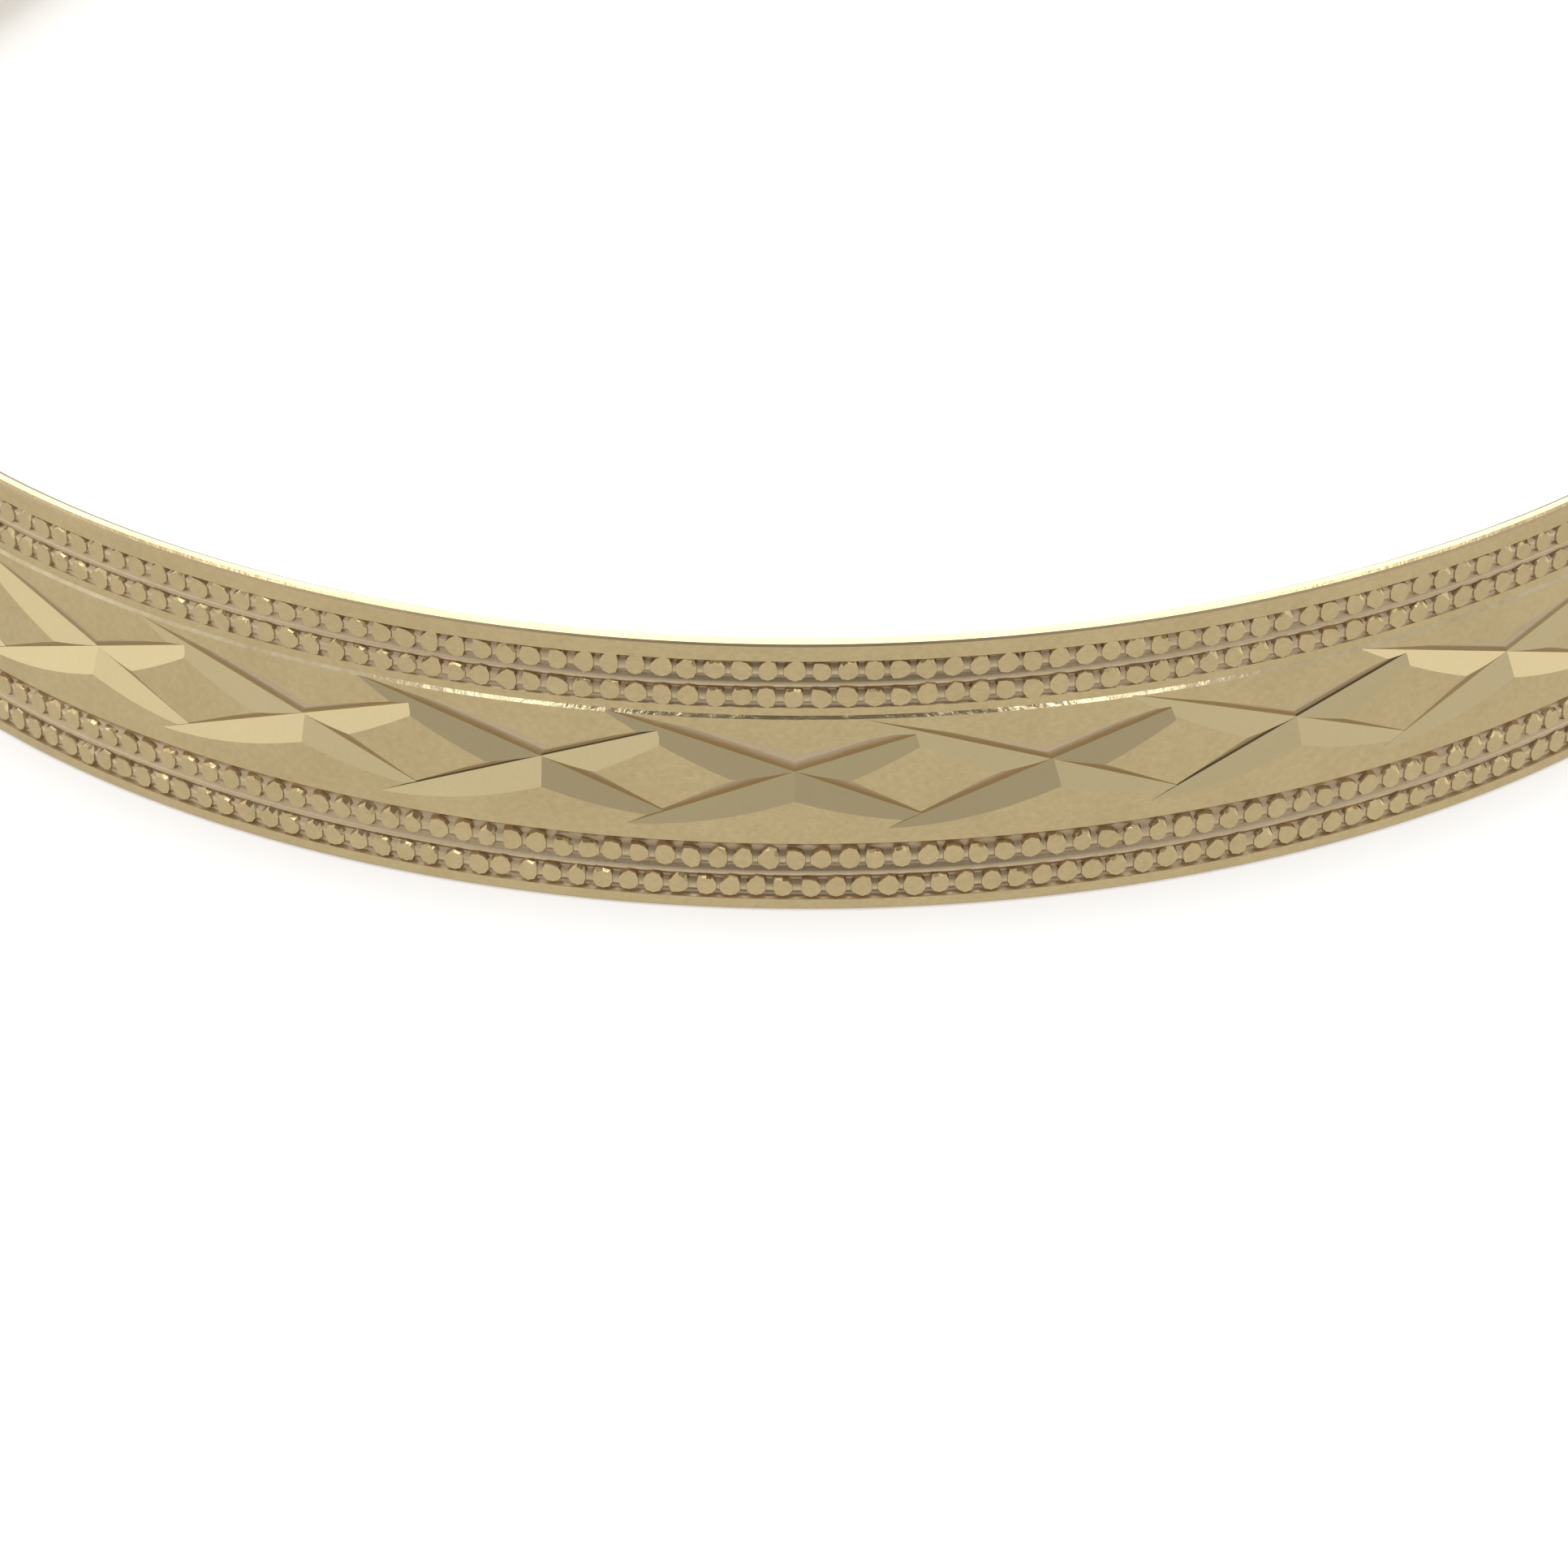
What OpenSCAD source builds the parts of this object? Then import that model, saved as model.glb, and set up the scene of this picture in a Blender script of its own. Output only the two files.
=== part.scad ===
// Hinged oval bangle bracelet: two hollow halves, a pinned hinge on the left,
// a box clasp with a spring tongue on the right and a figure-of-eight safety catch.
// Millimetres. The origin is the middle of the wrist opening, half-way up the band.
// +Z is up with the bangle lying flat, and the front half faces -Y.

/* [Oval] */
// Outer radius of the two rounded ends
end_r = 28; // [24:0.5:34]
// Length of the straight side between the rounded ends
straight = 10; // [10:0.5:16]
// Width of the band, along the wearer's arm
band_w = 7.25; // [7:0.05:9]

/* [Hollow section] */
// Overall thickness, from the outer face to the face on the wrist
depth = 1.9; // [1.9:0.05:2.4]
// Thickness of the decorated outer sheet
sheet_t = 0.45; // [0.4:0.05:0.5]
// Thickness of the lining sheet
lining_t = 0.35; // [0.3:0.05:0.4]
// Height of the flat part of the lining
flat_w = 4; // [3.8:0.1:4.2]

/* [Hinge] */
// Radius of the knuckle barrels
knuckle_r = 1.05; // [1:0.05:1.1]
// Radius of the hinge pin
pin_r = 0.45; // [0.4:0.05:0.5]
// How far in from the outer face the pin's axis lies
pin_inset = 0.7; // [0.65:0.05:0.8]
// Height of the middle knuckle
middle_h = 2.2; // [2:0.1:2.6]

/* [Clasp] */
// Length of the spring tongue
tongue_len = 3.4; // [3:0.1:3.5]
// Width of the tongue, through the thickness of the bangle
tongue_w = 0.5; // [0.4:0.05:0.5]
// Gap between the two closed ends
seam = 0.12; // [0.1:0.02:0.2]
// Thickness of the slotted plate at the mouth of the clasp box
plate_t = 0.4; // [0.3:0.05:0.5]

/* [Safety catch] */
// Radius of each loop of the figure of eight, to the middle of its wire
loop_r = 0.9; // [0.85:0.05:1]
// Radius of its wire
wire_r = 0.25; // [0.2:0.01:0.25]
// Distance of the eye from the closed seam
eye_y = 1; // [0.9:0.05:1.2]

/* [Hidden] */
$fn = 96;

gold = "#c9b07c";
pale_gold = "#d8c18c";
fit = 0.05;
half_w = band_w / 2;
half_s = straight / 2;
inner_r = end_r - depth;
back_r = end_r - sheet_t;
slope = (half_w - flat_w / 2) / (back_r - inner_r);
lining_z = lining_t * sqrt(1 + slope * slope);

// hinge: the two halves stop short of the barrels
pin_x = -(end_r - pin_inset);
hinge_gap = knuckle_r + 0.15;
hinge_block_len = 2.2;
knuckle_top = half_w - 0.42;
head_t = 0.25;
leaf_in = 0.65;

// clasp: a box with a slotted plate in front, and a block behind the tongue
box_len = 4.5;
cavity_x = inner_r + 0.4;
cavity_w = 0.75;
cavity_top = 1.5;
cavity_floor = -1.7;
cavity_end = tongue_len + 0.6;
notch_len = 1.5;
tongue_x = cavity_x + 0.1;
tongue_block_len = 4;
blade_z = 0.85;
blade_t = 0.35;
roll_r = 0.25;
leaf_t = 0.25;
tab_t = 0.35;
tab_y = -0.95;
tab_tip = -(half_w - 0.1);

// safety catch: the loops lie just above the rim
rim_x = end_r - sheet_t / 2;
eye_r = wire_r + 0.2;
eye_len = 0.4;
wire_z = half_w + eye_r;
loop_step = 2 * loop_r - 0.2;
stud_y = eye_y - loop_r - loop_step;
ball_r = 0.5;
ball_z = wire_z + 0.4;

// Solid outline of the hollow section, behind the outer sheet
core = [[back_r, -half_w], [back_r, half_w], [inner_r, flat_w / 2], [inner_r, -flat_w / 2]];

// Outline of the decorated sheet
sheet = [[back_r, -half_w], [end_r, -half_w], [end_r, half_w], [back_r, half_w]];

// Outline of the lining: a flat face on the wrist and a sloping flank to each rim
lining = [
    [back_r, -half_w], [inner_r, -flat_w / 2], [inner_r, flat_w / 2], [back_r, half_w],
    [back_r, half_w - lining_z],
    [inner_r + lining_t, flat_w / 2 + slope * lining_t - lining_z],
    [inner_r + lining_t, -flat_w / 2 - slope * lining_t + lining_z],
    [back_r, -half_w + lining_z]];

// A length of the section on the right-hand straight, between two distances in front of the seam
module straight_run(outline, near, far) {
    translate([0, -near, 0])
        rotate([90, 0, 0])
            linear_extrude(far - near)
                polygon(outline);
}

// Half of the oval, open at the back, that ends hinge_end and clasp_end in front of the seam
module half_oval(outline, hinge_end, clasp_end) {
    translate([0, -half_s, 0])
        rotate_extrude(angle = 180, start = 180)
            polygon(outline);
    straight_run(outline, clasp_end, half_s);
    mirror([1, 0, 0])
        straight_run(outline, hinge_end, half_s);
}

// The back half is the front half turned over the seam
module to_back() {
    mirror([0, 1, 0])
        children();
}

module front_band() {
    color(gold)
        half_oval(sheet, hinge_gap, seam / 2);
}

module back_band() {
    color(gold)
        to_back()
            half_oval(sheet, hinge_gap, seam / 2);
}

module front_lining() {
    color(pale_gold)
        half_oval(lining, hinge_gap + hinge_block_len, box_len);
}

module back_lining() {
    color(pale_gold)
        to_back()
            half_oval(lining, hinge_gap + hinge_block_len, tongue_block_len);
}

// Plug that closes the hollow at the hinge and carries the knuckles
module hinge_block() {
    mirror([1, 0, 0])
        straight_run(core, hinge_gap, hinge_gap + hinge_block_len);
}

module front_hinge_block() {
    color(pale_gold)
        hinge_block();
}

module back_hinge_block() {
    color(pale_gold)
        to_back()
            hinge_block();
}

// A drilled barrel with a leaf that reaches forward to the front hinge block
module knuckle(low, high) {
    difference() {
        union() {
            translate([pin_x, 0, low])
                cylinder(r = knuckle_r, h = high - low);
            translate([-back_r, -hinge_gap, low])
                cube([leaf_in, hinge_gap - pin_r - 0.2, high - low]);
        }
        translate([pin_x, 0, low - 1])
            cylinder(r = pin_r + fit, h = high - low + 2);
    }
}

module hinge_knuckle_top() {
    color(gold)
        knuckle(middle_h / 2 + fit, knuckle_top);
}

module hinge_knuckle_bottom() {
    color(gold)
        knuckle(-knuckle_top, -middle_h / 2 - fit);
}

module hinge_knuckle_middle() {
    color(gold)
        to_back()
            knuckle(-middle_h / 2, middle_h / 2);
}

// Pin with a riveted head at each end
module hinge_pin() {
    color(pale_gold)
        translate([pin_x, 0, 0]) {
            cylinder(r = pin_r, h = 2 * knuckle_top, center = true);
            for (side = [-1, 1])
                translate([0, 0, side * (knuckle_top + head_t / 2)])
                    cylinder(r = pin_r + 0.25, h = head_t, center = true);
        }
}

// The space that the tongue and its thumb tab slide through
module tongue_way(near, far, tab_far) {
    translate([cavity_x, -far, cavity_floor])
        cube([cavity_w, far - near, cavity_top - cavity_floor]);
    translate([cavity_x, -tab_far, -half_w - 1])
        cube([cavity_w, tab_far - near, half_w + 1 + cavity_floor + 0.1]);
}

module clasp_box() {
    color(pale_gold)
        difference() {
            straight_run(core, seam / 2 + plate_t, box_len);
            tongue_way(0, cavity_end, notch_len);
        }
}

module clasp_plate() {
    color(gold)
        difference() {
            straight_run(core, seam / 2, seam / 2 + plate_t);
            tongue_way(0, 1, 1);
        }
}

module tongue_block() {
    color(pale_gold)
        to_back()
            straight_run(core, seam / 2, tongue_block_len);
}

// The fixed upper leaf of the tongue
module tongue_blade() {
    color(gold)
        translate([tongue_x, -tongue_len, blade_z])
            cube([tongue_w, tongue_len + seam / 2, blade_t]);
}

// The lower leaf: it rolls at the tongue's tip, springs downwards and ends in the thumb tab
module tongue_spring() {
    roll_y = -tongue_len + roll_r + fit;
    roll_z = blade_z - roll_r - fit;
    color(gold)
        translate([tongue_x + tongue_w / 2, 0, 0])
            rotate([90, 0, 90])
                linear_extrude(tongue_w, center = true) {
                    translate([roll_y, roll_z])
                        circle(r = roll_r);
                    polygon([
                        [roll_y, roll_z], [tab_y, cavity_floor + 0.55],
                        [tab_y, tab_tip], [tab_y + tab_t, tab_tip],
                        [tab_y + tab_t, cavity_floor + 0.65], [roll_y, roll_z + leaf_t]]);
                }
}

// Eye on the back rim that the safety catch swings in
module catch_eye() {
    color(gold)
        translate([rim_x, eye_y, wire_z])
            rotate([0, 90, 0])
                difference() {
                    cylinder(r = eye_r, h = eye_len, center = true);
                    cylinder(r = wire_r + fit, h = 2 * eye_len, center = true);
                }
}

// Ball-headed stud on the front rim that the far loop drops over
module catch_stud() {
    color(gold)
        translate([rim_x, stud_y, 0]) {
            translate([0, 0, half_w])
                cylinder(r = 0.2, h = ball_z - half_w);
            translate([0, 0, ball_z])
                sphere(r = ball_r);
        }
}

// Figure of eight in round wire, folded back along the rim of the back half
module safety_catch() {
    color(gold)
        for (loop = [0, 1])
            translate([rim_x, eye_y + loop_r + loop * loop_step, wire_z])
                rotate_extrude()
                    translate([loop_r, 0])
                        circle(r = wire_r);
}

front_band();
front_lining();
front_hinge_block();
hinge_knuckle_top();
hinge_knuckle_bottom();
hinge_pin();
clasp_box();
clasp_plate();
catch_stud();
back_band();
back_lining();
back_hinge_block();
hinge_knuckle_middle();
tongue_block();
tongue_blade();
catch_eye();
tongue_spring();
safety_catch();
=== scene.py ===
import math
import random

import bmesh
import bpy
from mathutils import Matrix, Vector


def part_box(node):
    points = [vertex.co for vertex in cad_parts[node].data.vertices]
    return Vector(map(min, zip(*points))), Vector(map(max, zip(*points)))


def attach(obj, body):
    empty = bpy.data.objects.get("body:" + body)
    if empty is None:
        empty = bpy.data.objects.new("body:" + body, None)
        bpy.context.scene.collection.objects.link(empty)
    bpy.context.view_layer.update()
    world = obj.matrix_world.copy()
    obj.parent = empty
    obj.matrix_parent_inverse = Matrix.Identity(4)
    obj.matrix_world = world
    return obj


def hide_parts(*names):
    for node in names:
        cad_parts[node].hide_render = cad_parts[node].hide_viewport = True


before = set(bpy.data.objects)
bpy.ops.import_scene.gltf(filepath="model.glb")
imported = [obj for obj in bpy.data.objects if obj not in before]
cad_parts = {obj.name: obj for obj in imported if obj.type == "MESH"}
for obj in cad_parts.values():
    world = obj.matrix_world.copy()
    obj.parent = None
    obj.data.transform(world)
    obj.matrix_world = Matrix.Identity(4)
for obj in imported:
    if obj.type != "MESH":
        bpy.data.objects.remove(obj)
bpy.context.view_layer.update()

# --- Engraved sheets -----------------------------------------------------------------------
# The outer sheet of each half is gold, rolled flat and bent to half an oval. Two sunk tracks run
# along it for the bead-work, and the flat panel between them carries a chain of crosses, each
# made by two strokes of a polished graver. Everything is drawn in millimetres, then scaled.
band_low, band_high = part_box("front_band")
block_low, block_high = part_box("front_hinge_block")
end_r = band_high.x * 1000
half_w = band_high.z * 1000
half_s = -band_low.y * 1000 - end_r
back_r = -block_low.x * 1000
hinge_gap = -block_high.y * 1000
seam_y = -band_high.y * 1000 / 4

round_steps = 180
rim_round = 0.10
rim_shoulder = 0.03
rim_knee = 0.04
rear_fall = 0.18
rear_drop = 0.10

row_z = [2.87, 2.16, -2.21, -2.99]
track_top = 3.14
track_low = -3.31
track_d = 0.125
knee_d = track_d * 0.7
wall_knee = 0.035
wall_foot = 0.08
neck_d = 0.03
neck_foot = 0.155
neck_crest = 0.12
ridge_d = 0.03
ridge_foot = 0.13
ridge_crest = 0.07

panel_top = 1.59
panel_low = -1.78
upper_lip = 1.86
lip_foot = 0.04
lip_d = 0.07
near = 0.01
chance = random.Random(7)


def only(piece):
    """Make the piece the one that operators act on."""
    bpy.ops.object.select_all(action="DESELECT")
    piece.select_set(True)
    bpy.context.view_layer.objects.active = piece


def outline(name, points):
    """A flat face through the points, begun as a filled circle with as many corners."""
    bpy.ops.object.select_all(action="DESELECT")
    bpy.ops.mesh.primitive_circle_add(vertices=len(points), radius=1, fill_type="NGON")
    piece = bpy.context.object
    piece.name = name
    for corner, place in zip(piece.data.vertices, points):
        corner.co = place
    return piece


def pick(kind, test):
    """In edit mode, select the vertices, edges or faces whose middle passes the test."""
    bpy.ops.mesh.select_mode(type=kind)
    bpy.ops.mesh.select_all(action="DESELECT")
    mesh = bmesh.from_edit_mesh(bpy.context.object.data)
    group = {"VERT": mesh.verts, "EDGE": mesh.edges, "FACE": mesh.faces}[kind]
    for item in group:
        corners = [item] if kind == "VERT" else item.verts
        item.select_set(test(sum((v.co for v in corners), Vector()) / len(corners)))
    bmesh.update_edit_mesh(bpy.context.object.data)


def swept(piece, steps):
    """Sweep a flat outline round the front end of the oval."""
    bpy.ops.object.mode_set(mode="EDIT")
    bpy.ops.mesh.select_all(action="SELECT")
    bpy.ops.mesh.spin(steps=steps, angle=math.pi, center=(0, -half_s, 0), axis=(0, 0, 1))
    bpy.ops.mesh.select_all(action="SELECT")
    bpy.ops.mesh.remove_doubles(threshold=1e-5)
    bpy.ops.mesh.normals_make_consistent(inside=False)
    bpy.ops.object.mode_set(mode="OBJECT")


def drawn_out(piece, side, y_from, y_to):
    """Extend the cut face on one side of the oval along its straight flank."""
    bpy.ops.object.mode_set(mode="EDIT")
    pick("FACE", lambda p: side * p.x > 0 and abs(p.y - y_from) < near)
    bpy.ops.mesh.extrude_region_move(TRANSFORM_OT_translate={"value": (0, y_to - y_from, 0)})
    bpy.ops.object.mode_set(mode="OBJECT")


def solid(way):
    """Extrude the flat outline just made along a vector into a closed solid."""
    bpy.ops.object.mode_set(mode="EDIT")
    bpy.ops.mesh.select_all(action="SELECT")
    bpy.ops.mesh.extrude_region_move(TRANSFORM_OT_translate={"value": way})
    bpy.ops.mesh.select_all(action="SELECT")
    bpy.ops.mesh.normals_make_consistent(inside=False)
    bpy.ops.object.mode_set(mode="OBJECT")


def facing(back):
    """The turn round the wrist's axis that takes the front half's place to this half's."""
    return Matrix.Rotation(0 if back < 0 else math.pi, 4, "Z")


def uneven(most):
    """A small error of the hand, either way."""
    return chance.uniform(-most, most)


def cut_away(piece, tool):
    """Take the tool's shape out of the piece, its own finish going onto the new faces."""
    only(piece)
    boolean = piece.modifiers.new("cut", "BOOLEAN")
    boolean.solver = "EXACT"
    boolean.material_mode = "TRANSFER"
    boolean.object = tool
    bpy.ops.object.modifier_apply(modifier=boolean.name)
    bpy.data.objects.remove(tool)


def finished(piece, angle, body, slot, *nodes):
    """Scale a piece to metres, smooth its soft edges and put it in its place in the frame."""
    only(piece)
    bpy.ops.transform.resize(value=(0.001, 0.001, 0.001), center_override=(0, 0, 0))
    bpy.ops.object.transform_apply(location=True, rotation=True, scale=True)
    bpy.ops.object.shade_smooth_by_angle(angle=math.radians(angle))
    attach(piece, body)
    if nodes:
        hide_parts(*nodes)


class Wire:
    """A shader socket. Sums and products of wires and numbers add their Math nodes."""

    def __init__(self, tree, socket=None):
        self.tree = tree
        self.socket = socket

    def node(self, kind, settings, inputs, output=0):
        """Add any node with its settings and inputs. Stops are the points of a ramp."""
        made = self.tree.nodes.new(kind)
        for name, value in settings.items():
            if name == "stops":
                for place, level in value[2:]:
                    made.color_ramp.elements.new(place)
                for stop, (place, level) in zip(made.color_ramp.elements, value):
                    stop.position = place
                    stop.color = (level, level, level, 1)
            else:
                setattr(made, name, value)
        for name, value in inputs.items():
            if isinstance(value, Wire):
                self.tree.links.new(value.socket, made.inputs[name])
            else:
                made.inputs[name].default_value = value
        return Wire(self.tree, made.outputs[output])

    def math(self, operation, first, second):
        return self.node("ShaderNodeMath", {"operation": operation}, {0: first, 1: second})

    def __add__(self, other):
        return self.math("ADD", self, other)

    def __mul__(self, other):
        return self.math("MULTIPLY", self, other)

    __radd__ = __add__
    __rmul__ = __mul__


def gold(name, light, deep, rough, grain, pull, fineness=9):
    """Gold that drifts between two tones. Grain and pull are the heights, in thousandths of a
    millimetre, of its grain and of the polishing lines along it. Fineness is grains to the mm."""
    material = bpy.data.materials.new(name)
    material.use_nodes = True
    tree = material.node_tree
    shader = tree.nodes["Principled BSDF"]
    shader.inputs["Metallic"].default_value = 1
    start = Wire(tree)
    place = start.node("ShaderNodeTexCoord", {}, {}, "Object")
    in_mm = start.node("ShaderNodeVectorMath", {"operation": "SCALE"}, {0: place, "Scale": 1000})
    drift = start.node("ShaderNodeTexNoise", {}, {"Vector": in_mm, "Scale": 0.55, "Detail": 3})
    fine = start.node("ShaderNodeTexNoise", {}, {"Vector": in_mm, "Scale": fineness, "Detail": 4})
    along = start.node("ShaderNodeVectorMath", {"operation": "MULTIPLY"},
                       {0: in_mm, 1: (1.2, 1.2, 26)})
    lines = start.node("ShaderNodeTexNoise", {}, {"Vector": along, "Scale": 1, "Detail": 2})
    spread = start.node("ShaderNodeValToRGB", {"stops": [(0.32, 0), (0.68, 1)]},
                        {"Fac": drift * 0.45 + fine * 0.55})
    tone = start.node("ShaderNodeMix", {"data_type": "RGBA"},
                      {0: spread, 6: (*light, 1), 7: (*deep, 1)}, 2)
    tree.links.new(tone.socket, shader.inputs["Base Color"])
    roughness = fine * 0.10 + lines * 0.06 + (rough - 0.08)
    tree.links.new(roughness.socket, shader.inputs["Roughness"])
    bump = start.node("ShaderNodeBump", {}, {
        "Height": fine * grain + lines * pull, "Strength": 1, "Distance": 0.000001})
    tree.links.new(bump.socket, shader.inputs["Normal"])
    return material


satin_gold = gold("satin_gold", (0.79, 0.622, 0.335), (0.68, 0.528, 0.275), 0.24, 15, 3, 6)
# The shallow track floors are rougher, as struck metal is; their darker tone is painted shade of
# the recess.
struck_and_shaded_floor = gold("struck_and_shaded_floor", (0.71, 0.56, 0.355), (0.64, 0.50, 0.31), 0.32, 5, 2)
# Painted shade: a dark brown that stands in for shade and dark reflections in deep places.
painted_shade_brown = gold("painted_shade_brown", (0.61, 0.47, 0.30), (0.53, 0.405, 0.25), 0.36, 6, 2)
torn_edge = gold("torn_edge", (0.80, 0.68, 0.45), (0.62, 0.48, 0.27), 0.16, 15, 0, 4)


def track_wall(edge, way):
    """Points down the wall of a track, from its edge to its floor, going up or down."""
    return [(0, edge), (knee_d, edge + way * wall_knee), (track_d, edge + way * wall_foot)]


def track_floor(upper_row, lower_row):
    """Points across the floor of a track: a neck under each row of beads, a ridge between."""
    points = []
    for z, depth, foot, crest in [(upper_row, neck_d, neck_foot, neck_crest),
                                  ((upper_row + lower_row) / 2, ridge_d, ridge_foot, ridge_crest),
                                  (lower_row, neck_d, neck_foot, neck_crest)]:
        points += [(track_d, z + foot), (depth, z + crest), (depth, z - crest), (track_d, z - foot)]
    return points


sheet_t = end_r - back_r
rim = [(sheet_t, half_w - rear_drop), (sheet_t - rear_fall, half_w), (rim_round, half_w),
       (rim_shoulder, half_w - rim_knee), (0, half_w - rim_round)]
across = rim + track_wall(track_top, -1) + track_floor(row_z[0], row_z[1])
across += [(track_d, upper_lip + lip_foot), (lip_d, upper_lip),
           (lip_d, panel_top + lip_d), (0, panel_top)]
across += track_wall(panel_low, -1) + track_floor(row_z[2], row_z[3])
across += list(reversed(track_wall(track_low, 1)))
across += [(depth, -z) for depth, z in reversed(rim)]

# The graver's own shape: a flat polished side that lays open a wide facet below the line of
# the stroke, and a rounded heel that leaves a steep wall and a soft shoulder above it.
# Pushed straight into the round end of the oval, it leaves a long pointed leaf.
crosses = 15
cross_step = 12.5
cross_z = 0.02
end_lift = 1.5
stroke_d = 0.28
stroke_tilt = 19.9
falling_reach = [4.6, 4.6]
falling_middle = -0.6
rising_reach = [4.4, 3.02]
rising_middle = 0.03
facet_slope = 0.47
heel_r = 2.1
heel_tilts = [31, 1.5]
heel_steps = 8
wall_shade_share = 0.42
heel_shade_share = 0.85
full_wall = 0.74
thin_wall = 0.42
thinned_by = 15
shadow_line_h = 0.2
clear = 0.3
facet_angle = 4.2
bright_cut = gold("bright_cut", (0.76, 0.62, 0.35), (0.735, 0.595, 0.33), 0.13, 0.8, 0.6)
# Painted shade: the brown of the steep graver walls stands in for the shade and dark reflections
# inside each cut.
graver_wall_painted_shade = gold("graver_wall_painted_shade", (0.52, 0.39, 0.245), (0.46, 0.345, 0.215), 0.30, 1.5, 1)
# Painted shade: the paler brown on the heel above each wall stands in for the soft shade fading out
# of the cut.
graver_heel_painted_shade = gold("graver_heel_painted_shade", (0.61, 0.48, 0.30), (0.57, 0.445, 0.275), 0.27, 1.5, 1)
# Painted shadow: a near-black line that stands in for deep shade at the bottom of a cut.
painted_shadow_line = gold("painted_shadow_line", (0.05, 0.035, 0.02), (0.035, 0.025, 0.014), 0.4, 1.5, 1)


def graver(reach):
    """A bar as long as the stroke, with the graver's section, lying along X."""
    begin, end = (math.radians(tilt) for tilt in heel_tilts)
    section = []
    for step in range(heel_steps + 1):
        tilt = begin + (end - begin) * step / heel_steps
        rise = heel_r * (math.cos(tilt) - math.cos(begin))
        section.append((stroke_d - rise, heel_r * (math.sin(begin) - math.sin(tilt))))
    heel_h = section[-1][1]
    section += [(-clear, heel_h + clear), (-clear, -(stroke_d + clear) / facet_slope)]
    bar = outline("graver", [(-reach[0], depth, up) for depth, up in section])
    solid((sum(reach), 0, 0))
    for finish in (bright_cut, graver_wall_painted_shade, graver_heel_painted_shade, painted_shadow_line):
        bar.data.materials.append(finish)
    # Painted shade: the lowest faces of the wall get the brown shade, and the heel faces above them
    # a paler painted shade.
    for face in bar.data.polygons:
        if face.center.z > 0 and abs(face.normal.x) < 0.5:
            if face.center.z < heel_h * wall_shade_share:
                face.material_index = 1
            elif face.center.z < heel_h * heel_shade_share:
                face.material_index = 2
    return bar


strokes = [(graver(falling_reach), -1, falling_middle), (graver(rising_reach), 1, rising_middle)]


def crossed(sheet, back):
    """Cut the chain of crosses into one half, no two strokes quite alike. Every third rising
    stroke has a near-black painted shadow at the bottom of its wall. Strokes falling away from
    the middle have thinner walls."""
    for from_middle in range(-(crosses // 2), crosses // 2 + 1):
        for bar, lean, middle in strokes:
            around = math.radians(from_middle * cross_step + uneven(0.12))
            tilt = math.radians(lean * (stroke_tilt + uneven(0.7)))
            roll = math.radians(uneven(2))
            away = middle + uneven(0.06)
            sunk = uneven(0.01)
            at_end = abs(from_middle) == crosses // 2
            lift = math.copysign(math.radians(end_lift), from_middle) if at_end else 0
            cut = bar.copy()
            cut.data = bar.data.copy()
            bpy.context.collection.objects.link(cut)
            # Painted shadow: the bottom of every third rising stroke's wall is painted near black.
            if lean > 0 and from_middle % 3 == 2:
                for face in cut.data.polygons:
                    if 0 < face.center.z < shadow_line_h and abs(face.normal.x) < 0.5:
                        face.material_index = 3
            thinner = min(max(-lean * around / math.radians(thinned_by), 0), 1)
            for corner in cut.data.vertices:
                if corner.co.z > 0:
                    corner.co.z *= full_wall - (full_wall - thin_wall) * thinner
            cut.matrix_world = (
                facing(back)
                @ Matrix.Translation((0, -half_s, 0))
                @ Matrix.Rotation(around + away / end_r, 4, "Z")
                @ Matrix.Translation((0, -end_r + sunk, cross_z + away * math.tan(tilt)))
                @ Matrix.Rotation(-lift, 4, "Z")
                @ Matrix.Rotation(-tilt, 4, "Y")
                @ Matrix.Rotation(roll, 4, "X"))
            cut_away(sheet, cut)


def depth_at(place):
    """How far a place lies below the outer surface."""
    return end_r - math.hypot(place.x, max(abs(place.y) - half_s, 0))


def in_track(place):
    """Whether a place is at the height of one of the two tracks."""
    return track_low < place.z < panel_low or upper_lip < place.z < track_top


def struck_soft(place):
    """Whether an edge is on the floor or a wall of a track, and not on a cut end."""
    return (in_track(place) and near < depth_at(place) < sheet_t / 2
            and abs(place.y) > hinge_gap + near)


for name, body, back in [("front_sheet", "front_half", -1), ("back_sheet", "back_half", 1)]:
    sheet = outline(name, [(end_r - depth, -half_s, z) for depth, z in across])
    swept(sheet, round_steps)
    for finish in (satin_gold, struck_and_shaded_floor, painted_shade_brown, torn_edge):
        sheet.data.materials.append(finish)
    sheet.data.transform(facing(back))
    drawn_out(sheet, -1, back * half_s, back * hinge_gap)
    drawn_out(sheet, 1, back * half_s, back * seam_y)
    crossed(sheet, back)
    # Track faces get painted shade, darker the deeper they lie.
    for face in sheet.data.polygons:
        depth = depth_at(face.center)
        z = face.center.z
        if face.material_index == 0 and abs(face.normal.z) < 0.99:
            if in_track(face.center) and 2 * near < depth < track_d + near:
                face.material_index = 1 if depth < neck_d + near else 2
            elif panel_top < z < panel_top + lip_d and depth < lip_d:
                face.material_index = 3
            # Painted reflection: a thin dark line just under each rim's rounded edge, in the dark
            # brown.
            elif depth < rim_shoulder and half_w - rim_round < abs(z) < half_w - rim_knee:
                face.material_index = 2
    finished(sheet, facet_angle, body, "engraved_gold", body.replace("half", "band"))
    bpy.ops.object.mode_set(mode="EDIT")
    pick("EDGE", lambda p: struck_soft(p * 1000))
    bpy.ops.mesh.mark_sharp(clear=True)
    bpy.ops.object.mode_set(mode="OBJECT")
for bar, lean, middle in strokes:
    bpy.data.objects.remove(bar)

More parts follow.
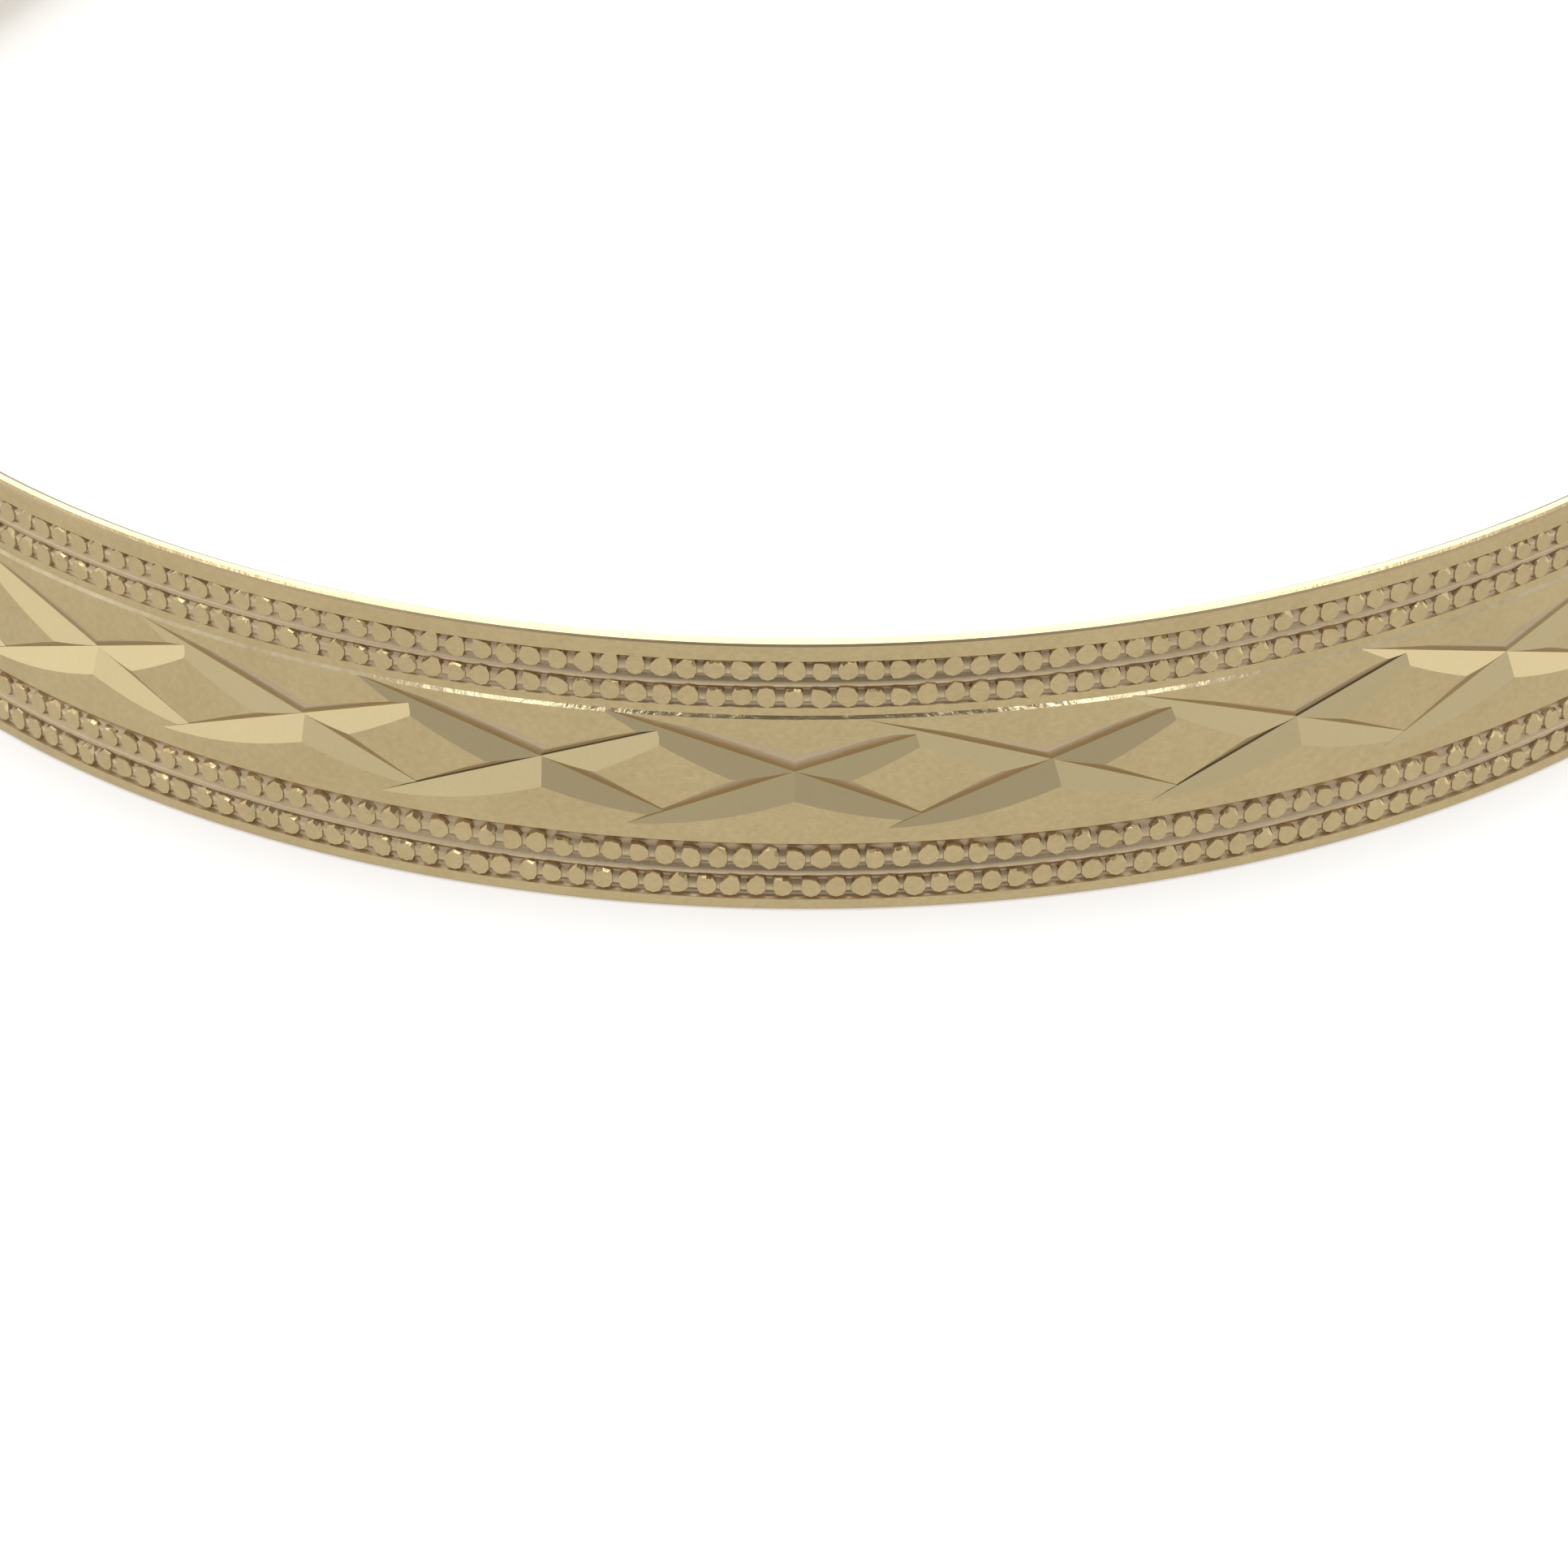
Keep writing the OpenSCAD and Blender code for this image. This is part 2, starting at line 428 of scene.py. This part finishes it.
# --- Bead-work -----------------------------------------------------------------------------
# Four rows of flat-topped grains raised from the floor of the tracks with a cupped punch. They
# stand flush with the rims, a little uneven, with small bright chips on their upper edges.
grain_r = 0.26
grain_sides = 10
grain_pitch = 0.611
grain_root = 0.02
grain_h = track_d + grain_root
grain_edge = 0.05
foot_spread = 1.2
side_reach = [0.84, 1.07]
peak_reach = [1.05, 1.24]
chip_share = 0.45
chip_d = [0.055, 0.1]
upper_side = [0.6, 2.0]
end_room = 0.38
grain_angle = 5

bpy.ops.object.select_all(action="DESELECT")
bpy.ops.mesh.primitive_cylinder_add(vertices=grain_sides, radius=grain_r, depth=grain_h)
grain = bpy.context.object
bpy.ops.object.mode_set(mode="EDIT")
pick("FACE", lambda p: p.z > grain_h / 2 - near)
bpy.ops.mesh.inset(thickness=grain_edge)
bpy.ops.object.mode_set(mode="OBJECT")
grain.data.materials.append(satin_gold)
grain.data.materials.append(painted_shade_brown)
# Painted shade: the sides of each grain get the dark brown, as the shade between the grains.
for face in grain.data.polygons:
    if face.normal.z < 0.5:
        face.material_index = 1


def struck(copy):
    """Make one grain unlike the others: uneven sides, a wider foot and perhaps a chip."""
    reach = [chance.uniform(*side_reach) for side in range(grain_sides)]
    reach[2 + chance.randrange(2)] = chance.uniform(*peak_reach)
    chipped = [chance.random() < chip_share for side in range(grain_sides)]
    for corner in copy.vertices:
        at_edge = math.hypot(corner.co.x, corner.co.y) > grain_r - grain_edge / 4
        angle = math.atan2(corner.co.y, corner.co.x)
        side = round(angle / math.tau * grain_sides) % grain_sides
        spread = foot_spread if corner.co.z < 0 else 1
        corner.co.x *= reach[side] * spread
        corner.co.y *= reach[side] * spread
        if corner.co.z > 0 and at_edge and upper_side[0] < angle < upper_side[1] and chipped[side]:
            corner.co.z -= chance.uniform(*chip_d)


def grain_places(back):
    """Where one row's grains stand, evenly from one end of the half to the other."""
    out = Matrix.Translation((0, -end_r + grain_h / 2, 0))
    flanks = [half_s - (hinge_gap if side == back else seam_y) for side in (-1, 1)]
    round_end = math.pi * end_r
    row = sum(flanks) + round_end - 2 * end_room
    last = round(row / grain_pitch) + chance.choice((-1, 0, 1))
    places = []
    for count in range(last + 1):
        past = end_room + row * count / last - flanks[0]
        angle = min(max(past / end_r, 0), math.pi) - math.pi / 2
        straight = max(-past, past - round_end, 0)
        places.append(facing(back) @ Matrix.Translation((0, straight - half_s, 0))
                      @ Matrix.Rotation(angle, 4, "Z") @ out)
    return places


for name, body, back in [("front_beads", "front_half", -1), ("back_beads", "back_half", 1)]:
    grains = []
    for z in row_z:
        for place in grain_places(back):
            copy = grain.data.copy()
            struck(copy)
            copy.transform(
                place
                @ Matrix.Translation((uneven(0.03), 0, z + uneven(0.02)))
                @ Matrix.Rotation(math.pi / 2, 4, "X")
                @ Matrix.Rotation(math.radians(uneven(1.5)), 4, "X"))
            made = bpy.data.objects.new(name, copy)
            bpy.context.collection.objects.link(made)
            grains.append(made)
    only(grains[0])
    for made in grains:
        made.select_set(True)
    bpy.ops.object.join()
    beads = bpy.context.object
    beads.name = name
    finished(beads, grain_angle, body, "engraved_gold")
bpy.data.objects.remove(grain)

# --- Linings -------------------------------------------------------------------------------
# A second sheet closes each half from behind: flat against the wrist, with a flank sloping out
# to each rim, so that the band is light and hollow. It is polished and only lightly worn.
box_low, box_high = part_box("clasp_box")
inner_r = box_low.x * 1000
flat_half = 2
lining_t = 0.35
fold_r = 0.5
lining_steps = 120
bend_angle = 20
polished_gold = gold("polished_gold", (0.76, 0.61, 0.33), (0.73, 0.58, 0.31), 0.15, 2.5, 3)

slope = (half_w - flat_half) / (back_r - inner_r)
lining_z = lining_t * math.hypot(1, slope)
fold_z = flat_half + slope * lining_t - lining_z
edge_z = half_w - rear_drop
lining_points = [
    (back_r, -edge_z), (inner_r, -flat_half), (inner_r, flat_half), (back_r, edge_z),
    (back_r, half_w - lining_z), (inner_r + lining_t, fold_z),
    (inner_r + lining_t, -fold_z), (back_r, -half_w + lining_z)]


def folded(piece):
    """Round the two corners where the flat against the wrist turns into the flanks."""
    bpy.ops.object.mode_set(mode="EDIT")
    pick("VERT", lambda p: abs(abs(p.x) - inner_r) < near)
    bpy.ops.mesh.bevel(offset=fold_r, segments=5, affect="VERTICES")
    bpy.ops.object.mode_set(mode="OBJECT")


for name, body, back, clasp_end in [
        ("front_inside", "front_half", -1, box_low.y * 1000),
        ("back_inside", "back_half", 1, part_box("tongue_block")[1].y * 1000)]:
    lining = outline(name, [(r, -half_s, z) for r, z in lining_points])
    folded(lining)
    swept(lining, lining_steps)
    lining.data.materials.append(polished_gold)
    lining.data.transform(facing(back))
    drawn_out(lining, -1, back * half_s, back * -block_low.y * 1000)
    drawn_out(lining, 1, back * half_s, clasp_end)
    finished(lining, bend_angle, body, "polished_gold", body.replace("half", "lining"))

# --- Hinge blocks --------------------------------------------------------------------------
# A solid plug soldered into the hollow at the hinge end of each half carries the knuckles.
# It is filed flush with the lining, so only a fine line shows where the two meet.
hard_angle = 40
plug_edge = 0.05


def run(name, side, y_from, y_to):
    """A solid length of the band's section behind the sheet, along one flank of the oval."""
    corners = [(back_r, -edge_z), (back_r, edge_z), (inner_r, flat_half), (inner_r, -flat_half)]
    piece = outline(name, [(side * r, y_from, z) for r, z in corners])
    folded(piece)
    solid((0, y_to - y_from, 0))
    piece.data.materials.append(polished_gold)
    return piece


def broken_edges(piece, width, segments=2):
    """Take the sharpness off every hard edge."""
    only(piece)
    bevel = piece.modifiers.new("bevel", "BEVEL")
    bevel.width = width
    bevel.segments = segments
    bevel.limit_method = "ANGLE"
    bevel.angle_limit = math.radians(hard_angle)
    bpy.ops.object.modifier_apply(modifier=bevel.name)


for name, body, back in [("front_plug", "front_half", -1), ("back_plug", "back_half", 1)]:
    plug = run(name, -1, back * -block_low.y * 1000, back * hinge_gap)
    broken_edges(plug, plug_edge)
    finished(plug, bend_angle, body, "polished_gold", body.replace("half", "hinge_block"))

# --- Knuckles ------------------------------------------------------------------------------
# Three drilled barrels turn on one pin: the outer two belong to the front half, the middle one
# to the back half. Each is cast with a short leaf that is soldered to its hinge block.
pin_low, pin_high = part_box("hinge_pin")
pin_x = (pin_low.x + pin_high.x) * 500
knuckle_r = 1.05
bore_r = 0.50
leaf_x = [-back_r, -back_r + 0.65]
arc_points = 40
barrel_edge = 0.07
round_angle = 30

for name, body, back in [("hinge_knuckle_top", "front_half", -1),
                         ("hinge_knuckle_bottom", "front_half", -1),
                         ("hinge_knuckle_middle", "back_half", 1)]:
    low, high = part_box(name)
    low_z, high_z = low.z * 1000, high.z * 1000
    begin = math.acos((leaf_x[1] - pin_x) / knuckle_r)
    end = math.tau - math.acos((leaf_x[0] - pin_x) / knuckle_r)
    points = [(leaf_x[0], back * hinge_gap, low_z), (leaf_x[1], back * hinge_gap, low_z)]
    for step in range(arc_points + 1):
        angle = -begin + (end + begin) * step / arc_points
        points.append((pin_x + knuckle_r * math.cos(angle),
                       -back * knuckle_r * math.sin(angle), low_z))
    barrel = outline(name.replace("hinge_", "") + "_barrel", points)
    solid((0, 0, high_z - low_z))
    barrel.data.materials.append(polished_gold)
    bpy.ops.object.select_all(action="DESELECT")
    bpy.ops.mesh.primitive_cylinder_add(vertices=48, radius=bore_r, depth=2 * half_w,
                                        location=(pin_x, 0, 0))
    drill = bpy.context.object
    drill.data.materials.append(polished_gold)
    cut_away(barrel, drill)
    broken_edges(barrel, barrel_edge)
    finished(barrel, round_angle, body, "polished_gold", name)

# --- Hinge pin -----------------------------------------------------------------------------
# A plain gold wire pushed through the three knuckles, its two ends spread with a
# hammer into low domed heads, so that it can't work out again.
spring_gold = gold("spring_gold", (0.74, 0.60, 0.34), (0.70, 0.56, 0.31), 0.18, 3, 4)


def turned(name, profile, steps=48):
    """Turn a closed profile of (radius, height) points once round the Z axis."""
    piece = outline(name, [(r, 0, z) for r, z in profile])
    bpy.ops.object.mode_set(mode="EDIT")
    bpy.ops.mesh.select_all(action="SELECT")
    bpy.ops.mesh.delete(type="ONLY_FACE")
    bpy.ops.mesh.select_all(action="SELECT")
    bpy.ops.mesh.spin(steps=steps, angle=math.tau, center=(0, 0, 0), axis=(0, 0, 1))
    bpy.ops.mesh.select_all(action="SELECT")
    bpy.ops.mesh.remove_doubles(threshold=1e-5)
    bpy.ops.mesh.delete_loose()
    bpy.ops.mesh.select_all(action="SELECT")
    bpy.ops.mesh.normals_make_consistent(inside=False)
    bpy.ops.object.mode_set(mode="OBJECT")
    return piece


def moved(piece, place):
    """Move a piece to its place, in millimetres."""
    only(piece)
    bpy.ops.transform.translate(value=place)
    bpy.ops.object.transform_apply(location=True, rotation=True, scale=True)


pin_r = 0.45
head_r = pin_high.x * 1000 - pin_x
head_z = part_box("hinge_knuckle_top")[1].z * 1000
edge_h = 0.06
dome_z = head_z + edge_h
tip_z = pin_high.z * 1000
dome = []
for step in range(7):
    angle = math.radians(15 * step)
    dome.append((head_r * math.cos(angle), dome_z + (tip_z - dome_z) * math.sin(angle)))
dome[-1] = (0, tip_z)
half_profile = [(pin_r, head_z), (head_r - 0.05, head_z)] + dome
profile = half_profile + [(r, -z) for r, z in reversed(half_profile)]
pin = turned("riveted_pin", profile)
moved(pin, (pin_x, 0, 0))
pin.data.materials.append(spring_gold)
finished(pin, round_angle, "front_half", "polished_gold", "hinge_pin")

# --- Clasp box -----------------------------------------------------------------------------
# The front half ends in a hollow box that takes the tongue. A separate slotted plate closes
# its mouth, and a notch in the lower rim lets the thumb tab slide in.
cavity_x = [26.5, 27.25]
cavity_z = [-1.7, 1.5]
cavity_end = -4.0
notch_end = -1.5
mouth_edge = 0.045
plate_y = box_high.y * 1000


def block(x, y, z, finish=polished_gold):
    """A plain box between pairs of limits."""
    bpy.ops.object.select_all(action="DESELECT")
    bpy.ops.mesh.primitive_cube_add(size=1, location=[sum(pair) / 2 for pair in (x, y, z)])
    bpy.ops.transform.resize(value=[pair[1] - pair[0] for pair in (x, y, z)])
    bpy.ops.object.transform_apply(location=True, rotation=True, scale=True)
    bpy.context.object.data.materials.append(finish)
    return bpy.context.object


for name, node, y_from, y_to in [("mouth_box", "clasp_box", box_low.y * 1000, plate_y),
                                 ("mouth_plate", "clasp_plate", plate_y, -seam_y)]:
    piece = run(name, 1, y_from, y_to)
    cut_away(piece, block(cavity_x, [cavity_end, 1], cavity_z))
    cut_away(piece, block(cavity_x, [notch_end, 1], [-half_w - 1, cavity_z[0] + 0.1]))
    broken_edges(piece, mouth_edge)
    finished(piece, bend_angle, "front_half", "polished_gold", node)

# --- Tongue --------------------------------------------------------------------------------
# The back half carries a block with a stiff blade, and under it a springy leaf rolled at the
# tip. The leaf snaps down behind the slotted plate, and its tab lets the wearer lift it free.
root = run("tongue_root", 1, seam_y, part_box("tongue_block")[1].y * 1000)
broken_edges(root, mouth_edge)
finished(root, bend_angle, "back_half", "polished_gold", "tongue_block")

blade_low, blade_high = (corner * 1000 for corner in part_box("tongue_blade"))
blade_z = (blade_low + blade_high).z / 2
tip_r = 0.2
spring_edge = 0.03
blade = block(*zip(blade_low, blade_high), spring_gold)
blade.name = "stiff_blade"
bpy.ops.object.mode_set(mode="EDIT")
pick("EDGE", lambda p: abs(p.y - blade_low.y) < near and abs(p.z - blade_z) < near)
bpy.ops.mesh.bevel(offset=tip_r, segments=5)
bpy.ops.object.mode_set(mode="OBJECT")
broken_edges(blade, spring_edge)
finished(blade, bend_angle, "back_half", "spring_gold", "tongue_blade")

spring_low, spring_high = (corner * 1000 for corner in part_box("tongue_spring"))
roll_r = 0.25
roll_y = spring_low.y + roll_r
roll_z = spring_high.z - roll_r
tab_y = [spring_high.y - 0.35, spring_high.y]
elbow_z = -1.15
leaf_angle = 25
side_view = []
for step in range(13):
    angle = math.radians(90 + 12 * step)
    side_view.append((roll_y + roll_r * math.cos(angle), roll_z + roll_r * math.sin(angle)))
side_view += [(tab_y[0] - 0.12, elbow_z + 0.05), (tab_y[0], elbow_z - 0.12),
              (tab_y[0], spring_low.z + 0.1), (tab_y[0] + 0.1, spring_low.z),
              (tab_y[1] - 0.1, spring_low.z), (tab_y[1], spring_low.z + 0.1),
              (tab_y[1], elbow_z), (tab_y[1] - 0.1, elbow_z + 0.14)]
leaf = outline("rolled_leaf", [(spring_low.x, y, z) for y, z in side_view])
solid((spring_high.x - spring_low.x, 0, 0))
leaf.data.materials.append(spring_gold)
broken_edges(leaf, spring_edge)
finished(leaf, leaf_angle, "spring_leaf", "spring_gold", "tongue_spring")

# --- Catch stud ----------------------------------------------------------------------------
# A small ball on a post, soldered to the rim of the front half. The far loop of the safety
# catch is pressed down over it.
stud_low, stud_high = (corner * 1000 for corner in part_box("catch_stud"))
ball_r = (stud_high.x - stud_low.x) / 2
ball_z = stud_high.z - ball_r
post_r = 0.2
meet = math.asin(post_r / ball_r)
shape = [(0, stud_low.z), (post_r + 0.09, stud_low.z), (post_r + 0.03, stud_low.z + 0.04),
         (post_r, stud_low.z + 0.11)]
for step in range(17):
    angle = meet + (math.pi - meet) * step / 16
    shape.append((ball_r * math.sin(angle), ball_z - ball_r * math.cos(angle)))
shape[-1] = (0, stud_high.z)
stud = turned("ball_stud", shape)
moved(stud, ((stud_low.x + stud_high.x) / 2, (stud_low.y + stud_high.y) / 2, 0))
stud.data.materials.append(polished_gold)
finished(stud, round_angle, "front_half", "polished_gold", "catch_stud")

# --- Catch eye -----------------------------------------------------------------------------
# A short tube of round-edged wire on a soldered foot, on the rim of the back half.
# The near loop of the safety catch is threaded through it and swings in it.
eye_low, eye_high = (corner * 1000 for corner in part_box("catch_eye"))
eye_r = (eye_high.z - eye_low.z) / 2
eye_half = (eye_high.x - eye_low.x) / 2
eye_bore = 0.30


def soldered(piece, other):
    """Join the other part to the piece as one closed body."""
    only(piece)
    join = piece.modifiers.new("solder", "BOOLEAN")
    join.operation = "UNION"
    join.solver = "EXACT"
    join.object = other
    bpy.ops.object.modifier_apply(modifier=join.name)
    bpy.data.objects.remove(other)


edge = 0.05
mid_edge = 0.015
foot_edge = 0.02
tube = [(eye_bore + edge, -eye_half), (eye_r - edge, -eye_half),
        (eye_r - mid_edge, -eye_half + mid_edge), (eye_r, -eye_half + edge)]
tube += [(r, -z) for r, z in reversed(tube)]
tube += [(eye_bore, eye_half - edge), (eye_bore, edge - eye_half)]
eye = turned("wire_eye", tube)
bpy.ops.transform.rotate(value=math.pi / 2, orient_axis="Y", center_override=(0, 0, 0))
bpy.ops.object.transform_apply(location=True, rotation=True, scale=True)
moved(eye, (eye_low + eye_high) / 2)
eye.data.materials.append(polished_gold)
eye_y = (eye_low.y + eye_high.y) / 2
foot_half = 0.3
foot_h = 0.1
foot = block([eye_low.x, eye_high.x], [eye_y - foot_half, eye_y + foot_half],
             [eye_low.z, eye_low.z + foot_h])
soldered(eye, foot)
broken_edges(eye, foot_edge)
finished(eye, round_angle, "back_half", "polished_gold", "catch_eye")

# --- Safety catch --------------------------------------------------------------------------
# A figure of eight in round wire, soldered at its waist. It is folded back along the rim
# of the back half, and turns over on its eye to hold the clasp shut.
catch_low, catch_high = (corner * 1000 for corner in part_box("safety_catch"))
wire_r = (catch_high.z - catch_low.z) / 2
catch_x = (catch_low.x + catch_high.x) / 2
catch_z = (catch_low.z + catch_high.z) / 2
loop_r = (catch_high.x - catch_low.x) / 2 - wire_r
waist_edge = 0.04
waist_angle = 40
loops = []
for loop_y in (catch_low.y + wire_r + loop_r, catch_high.y - wire_r - loop_r):
    bpy.ops.object.select_all(action="DESELECT")
    bpy.ops.mesh.primitive_torus_add(location=(catch_x, loop_y, catch_z), major_segments=72,
                                     minor_segments=20, major_radius=loop_r, minor_radius=wire_r)
    bpy.ops.object.transform_apply(location=True, rotation=True, scale=True)
    loops.append(bpy.context.object)
catch = loops[0]
catch.name = "figure_of_eight"
soldered(catch, loops[1])
broken_edges(catch, waist_edge, 3)
catch.data.materials.append(spring_gold)
finished(catch, waist_angle, "catch", "spring_gold", "safety_catch")

# --- Table, light and camera ---------------------------------------------------------------
# A pale table under a soft white tent: the side where the viewer stands is dim, the sides
# are brighter, and the strongest light comes from overhead and behind.
bpy.ops.object.select_all(action="DESELECT")
bpy.ops.mesh.primitive_circle_add(vertices=96, radius=4, fill_type="NGON",
                                  location=(0, 0, band_low.z))
table = bpy.context.object
table.name = "table"
table.visible_glossy = False
paint = bpy.data.materials.new("table_white")
paint.use_nodes = True
coat = paint.node_tree.nodes["Principled BSDF"]
coat.inputs["Base Color"].default_value = (0.8, 0.8, 0.8, 1)
coat.inputs["Roughness"].default_value = 0.9
coat.inputs["Emission Color"].default_value = (1, 1, 1, 1)
coat.inputs["Emission Strength"].default_value = 0.4
table.data.materials.append(paint)

world = bpy.data.worlds.new("tent")
bpy.context.scene.world = world
world.use_nodes = True
tent = Wire(world.node_tree)
viewer_up = math.radians(45)
look = tent.node("ShaderNodeTexCoord", {}, {}, "Generated")
toward = {}
for name, way in [("right", (1, 0, 0)), ("back", (0, 1, 0)), ("up", (0, 0, 1)),
                  ("viewer", (0, -math.cos(viewer_up), math.sin(viewer_up)))]:
    toward[name] = tent.node("ShaderNodeVectorMath", {"operation": "DOT_PRODUCT"},
                             {0: look, 1: way}, 1)


def share(value, begin, end):
    """A soft step from 0 to 1 as the value goes from begin to end."""
    return tent.node("ShaderNodeMapRange", {"interpolation_type": "SMOOTHSTEP"},
                     {"Value": value, 1: begin, 2: end, 3: 0, 4: 1})


def blended(factor, first, second):
    """A colour that goes from the first to the second with the factor."""
    return tent.node("ShaderNodeMix", {"data_type": "RGBA"}, {0: factor, 6: first, 7: second}, 2)


ground = tent.node("ShaderNodeValToRGB", {"stops": [
    (0.0, 0.86), (0.12, 0.80), (0.22, 0.66), (0.45, 0.65)]}, {"Fac": toward["up"] * 0.5 + 0.5})
walls = tent.node("ShaderNodeValToRGB", {"stops": [
    (0.0, 1.0), (0.05, 0.92), (0.19, 0.72), (0.375, 0.46), (0.625, 0.46), (0.80, 0.62),
    (0.94, 0.66), (0.985, 0.98)]}, {"Fac": toward["right"] * 0.5 + 0.5})
mixed = blended(share(toward["up"], -0.26, -0.19), ground, walls)
overhead = share(toward["up"], 0.66, 0.76)
far_wall = share(toward["back"], 0.2, 0.5) * share(toward["up"], 0.15, 0.35)
strip = tent.math("MAXIMUM", overhead, far_wall)
strip = strip * share(tent.math("ABSOLUTE", toward["right"], 0), 0.48, 0.38)
mixed = blended(strip, mixed, (2.5, 2.5, 2.5, 1))
viewer = share(toward["viewer"], math.cos(math.radians(26)), math.cos(math.radians(22)))
mixed = blended(viewer, mixed, (0.16, 0.15, 0.13, 1))
world.node_tree.links.new(mixed.socket, world.node_tree.nodes["Background"].inputs["Color"])
bpy.context.scene.view_settings.view_transform = "Standard"

camera = bpy.data.objects.new("camera", bpy.data.cameras.new("camera"))
bpy.context.collection.objects.link(camera)
camera.data.lens = 164.74
camera.data.sensor_width = 36
camera.data.clip_start = 0.01
yaw, pitch, roll = -0.02642, 0.5441, -0.0098
camera_place = Vector((0.003484, -half_s / 1000 - 0.170583, 0.086151))
forward = Vector((math.sin(yaw) * math.cos(pitch), math.cos(yaw) * math.cos(pitch),
                  -math.sin(pitch)))
right = Vector((math.cos(yaw), -math.sin(yaw), 0))
upward = right.cross(forward)
turned_right = right * math.cos(roll) + upward * math.sin(roll)
turned_up = upward * math.cos(roll) - right * math.sin(roll)
aim = Matrix((turned_right, turned_up, -forward)).transposed().to_4x4()
camera.matrix_world = Matrix.Translation(camera_place) @ aim
bpy.context.scene.camera = camera
